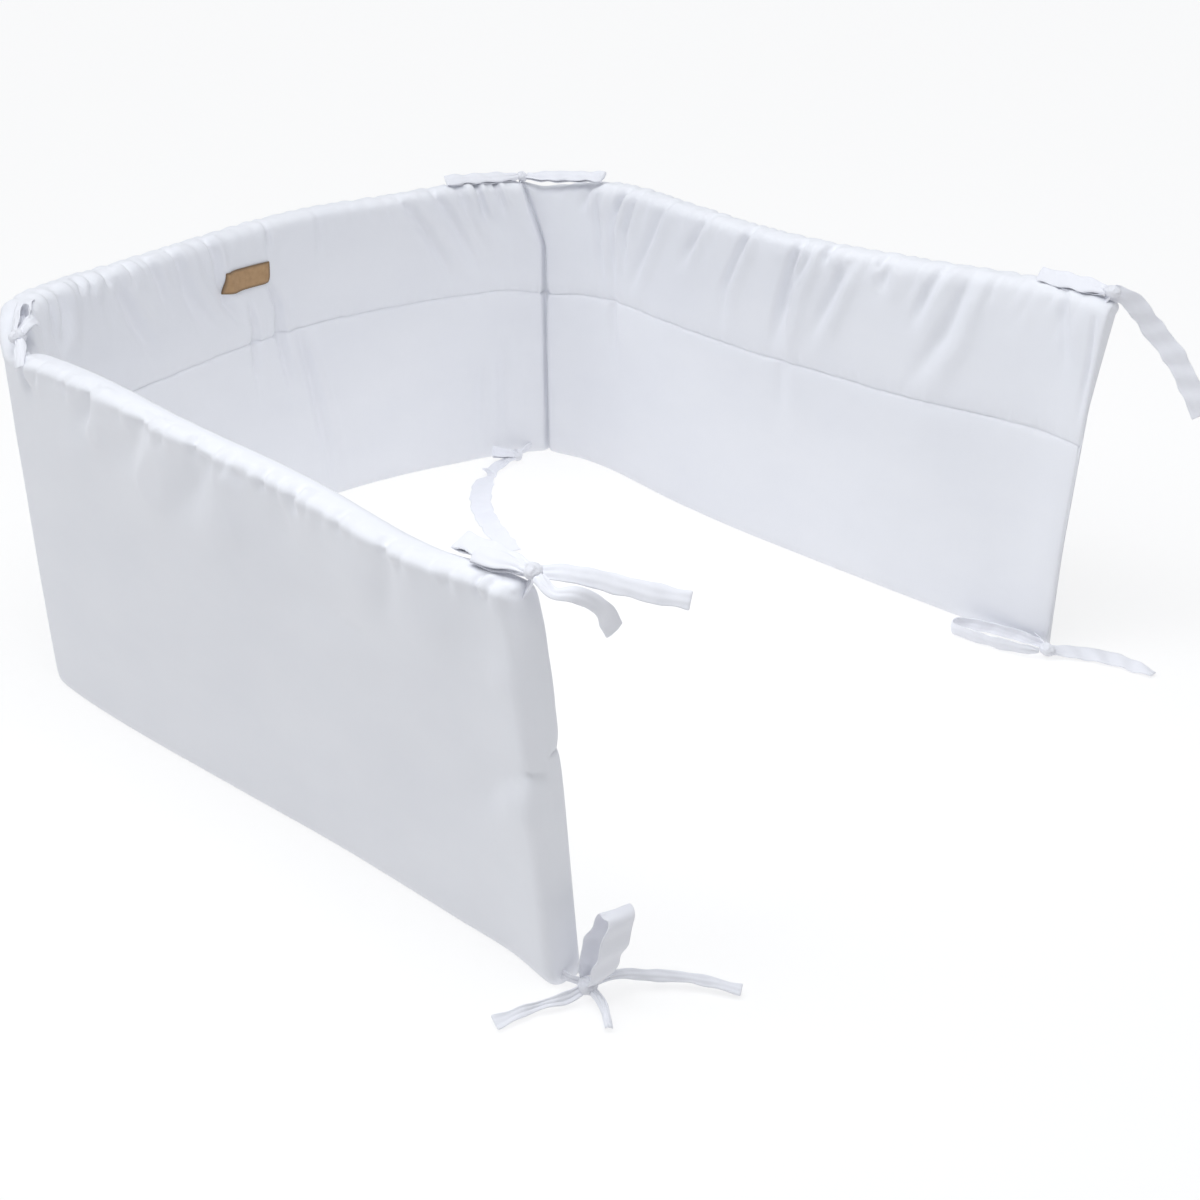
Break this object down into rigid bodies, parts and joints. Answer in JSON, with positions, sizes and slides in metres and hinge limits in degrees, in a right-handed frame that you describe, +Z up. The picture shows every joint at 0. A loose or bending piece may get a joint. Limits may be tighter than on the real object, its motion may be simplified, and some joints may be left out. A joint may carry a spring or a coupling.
{
  "type": "crib bumper",
  "caption": "Padded cotton cot bumper that stands on its long edge in a U, with a sewn seam along its cot side, tape ties at its corners and a small bare patch.",
  "frame": {"origin": "Middle of the whole footprint, in the plane on which the bumper stands.", "axes": "+Z up. +Y runs from the open side of the U to the back panel. +X runs from the left panel to the right panel, as seen from the open side."},
  "size_m": [0.72, 0.8312, 0.3253],
  "materials": {
    "cover_cotton": "matt cotton",
    "tie_cotton": "matt cotton tape",
    "patch_leather": "smooth, slightly worn"
  },
  "bodies": {
    "root": {"bumper_pad": "cover_cotton", "label_patch": "patch_leather", "tie_front_top": "tie_cotton", "tie_front_bottom": "tie_cotton", "tie_left_top": "tie_cotton", "tie_left_bottom": "tie_cotton", "tie_back_top": "tie_cotton", "tie_back_bottom": "tie_cotton", "tie_right_top": "tie_cotton", "tie_right_bottom": "tie_cotton"}
  },
  "joints": []
}
